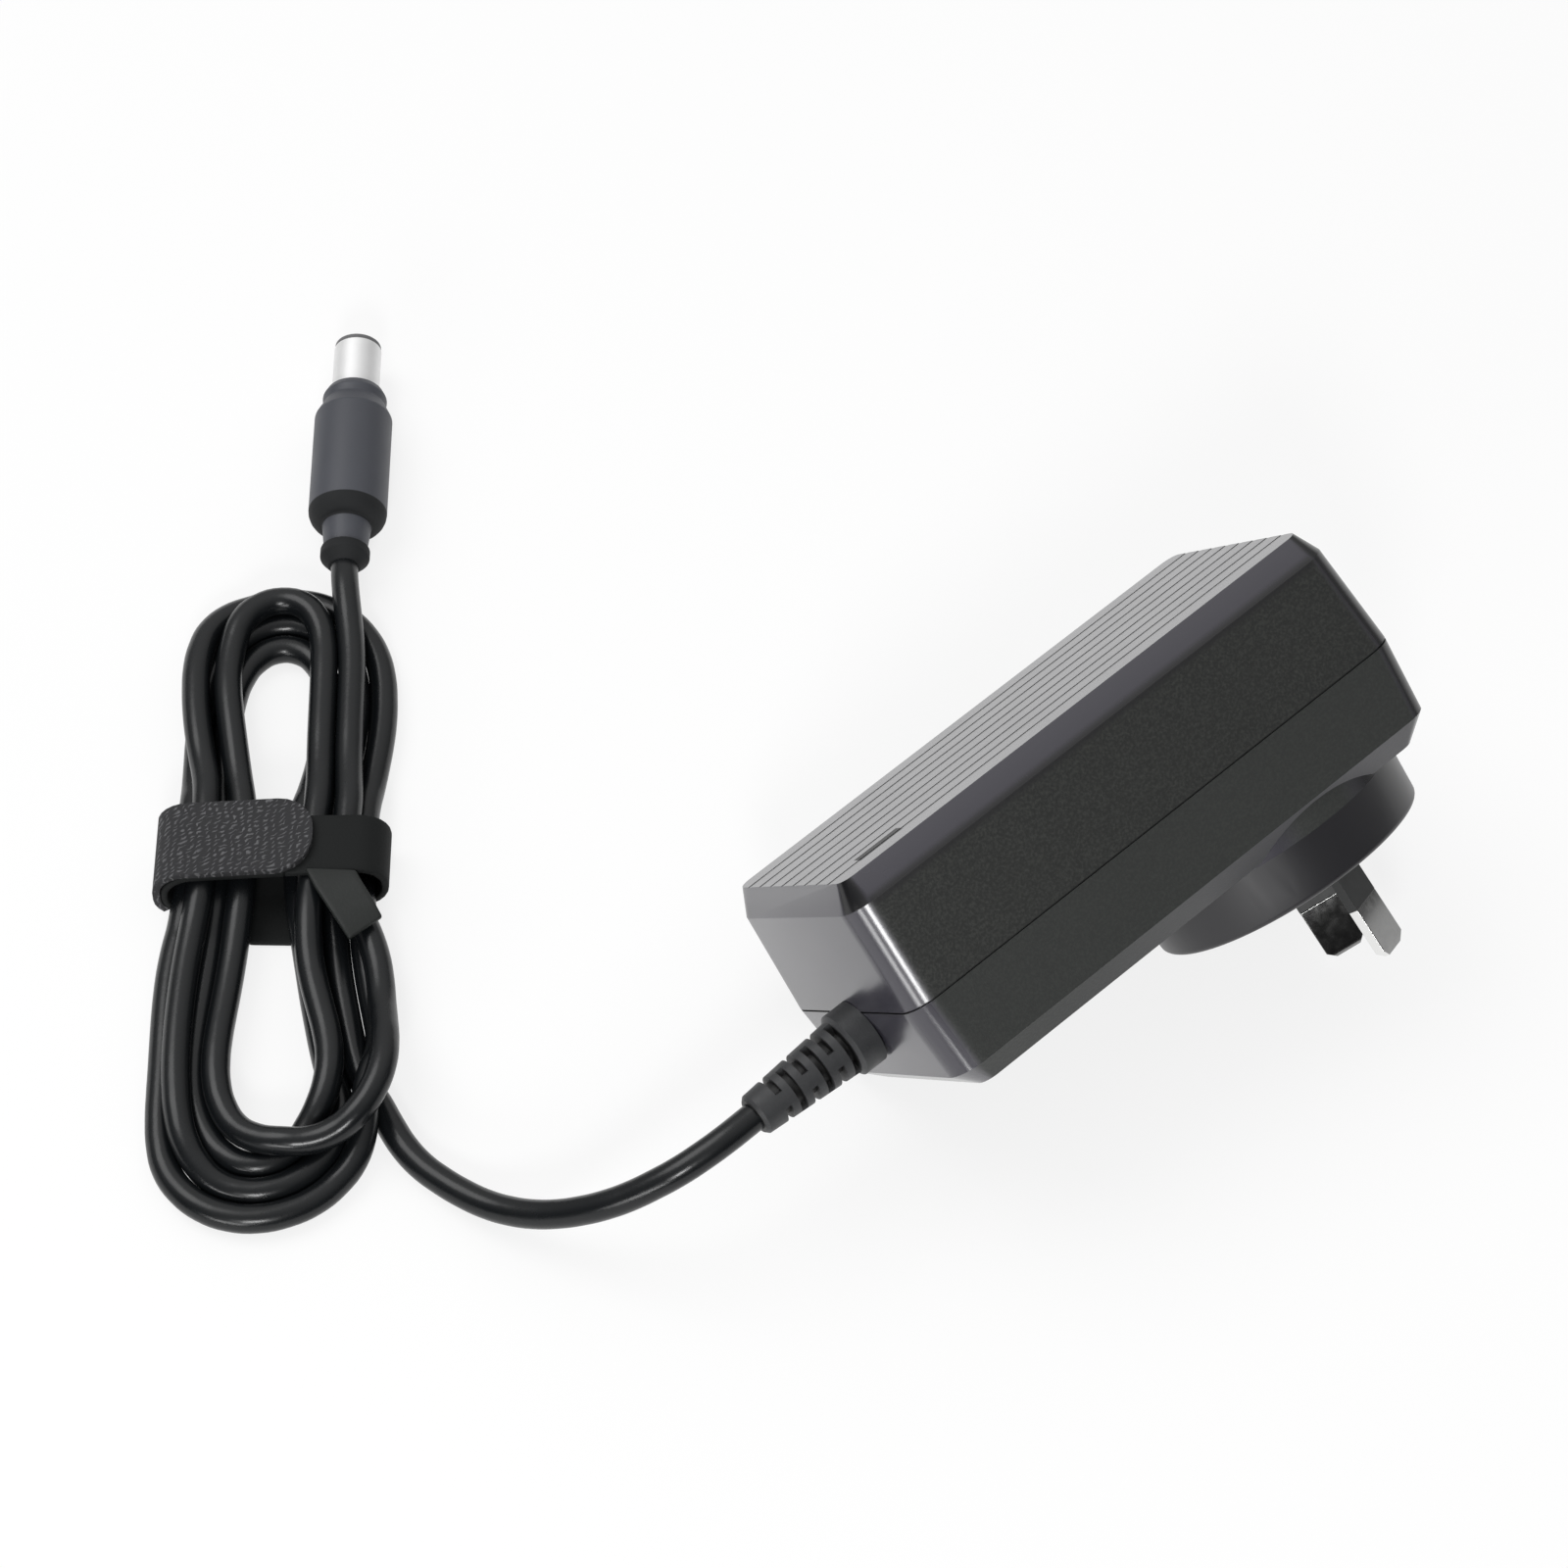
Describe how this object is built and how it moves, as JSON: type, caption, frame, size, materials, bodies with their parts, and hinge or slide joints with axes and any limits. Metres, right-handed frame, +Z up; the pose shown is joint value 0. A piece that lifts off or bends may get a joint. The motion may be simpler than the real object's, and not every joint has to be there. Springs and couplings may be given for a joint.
{
  "type": "laptop power adapter",
  "caption": "Wall-plug laptop power adapter: a two-shell case with a round plug boss and angled blades, a strain relief, a cord folded in a tied hank, and a barrel connector",
  "frame": {"origin": "centre of the footprint box of the case and blades, on the surface that the adapter lies on", "axes": "X runs along the case from the strain relief to the plug end, Y towards the ribbed face, Z up; the case leans back on the rim of its plug boss and one blade tip"},
  "size_m": [0.1756, 0.1892, 0.0605],
  "materials": {
    "case_plastic": "dark grey, fine spark texture",
    "nickel": "nickel plated brass",
    "sleeve_plastic": "smooth black",
    "retainer_plastic": "natural",
    "lead_black": "smooth",
    "lead_white": "smooth",
    "lead_red": "smooth",
    "lead_yellow": "smooth",
    "board": "solder mask",
    "fuse_body": "satin",
    "blue_coat": "dipped coating",
    "green_coat": "dipped coating",
    "yellow_case": "moulded box",
    "ferrite": "sintered ferrite",
    "copper": "enamelled copper wire",
    "epoxy": "moulded epoxy",
    "can_sleeve": "shrink sleeve",
    "heat_sink": "bare sheet",
    "screw_steel": "zinc plated",
    "bobbin_plastic": "satin",
    "tape": "polyester tape",
    "opto_plastic": "satin",
    "sheet": "fibre sheet",
    "relief_rubber": "moulded, satin",
    "cord_jacket": "smooth, glossy",
    "strap": "hook and loop",
    "grip_plastic": "moulded, satin",
    "barrel_metal": "nickel plated",
    "insulator_plastic": "satin",
    "contact_metal": "plated brass"
  },
  "bodies": {
    "root": {"bottom_shell": "case_plastic", "top_shell": "case_plastic", "blade_line": "nickel", "blade_neutral": "nickel", "sleeve_line": "sleeve_plastic", "sleeve_neutral": "sleeve_plastic", "blade_retainer": "retainer_plastic", "feed_line": "lead_black", "feed_neutral": "lead_white", "circuit_board": "board", "fuse": "fuse_body", "varistor": "blue_coat", "inrush_limiter": "green_coat", "x_capacitor": "yellow_case", "choke_core": "ferrite", "choke_winding_line": "copper", "choke_winding_neutral": "copper", "bridge_rectifier": "epoxy", "bulk_capacitor": "can_sleeve", "primary_heat_sink": "heat_sink", "switching_transistor": "epoxy", "transformer_core_lower": "ferrite", "transformer_core_upper": "ferrite", "transformer_bobbin": "bobbin_plastic", "transformer_winding": "tape", "y_capacitor": "blue_coat", "optocoupler": "opto_plastic", "controller_chip": "epoxy", "secondary_heat_sink": "heat_sink", "output_rectifier": "epoxy", "heat_sink_screws": "screw_steel", "output_capacitors": "can_sleeve", "output_choke": "ferrite", "output_lead_positive": "lead_red", "output_lead_return": "lead_black", "output_lead_sense": "lead_yellow", "insulating_sheet": "sheet", "strain_relief": "relief_rubber", "cord_tail": "cord_jacket", "cord_hank": "cord_jacket", "cord_lead": "cord_jacket", "cable_tie": "strap", "plug_body": "grip_plastic", "plug_barrel": "barrel_metal", "plug_insulator": "insulator_plastic", "plug_contact": "contact_metal", "plug_pin": "contact_metal"}
  },
  "joints": []
}
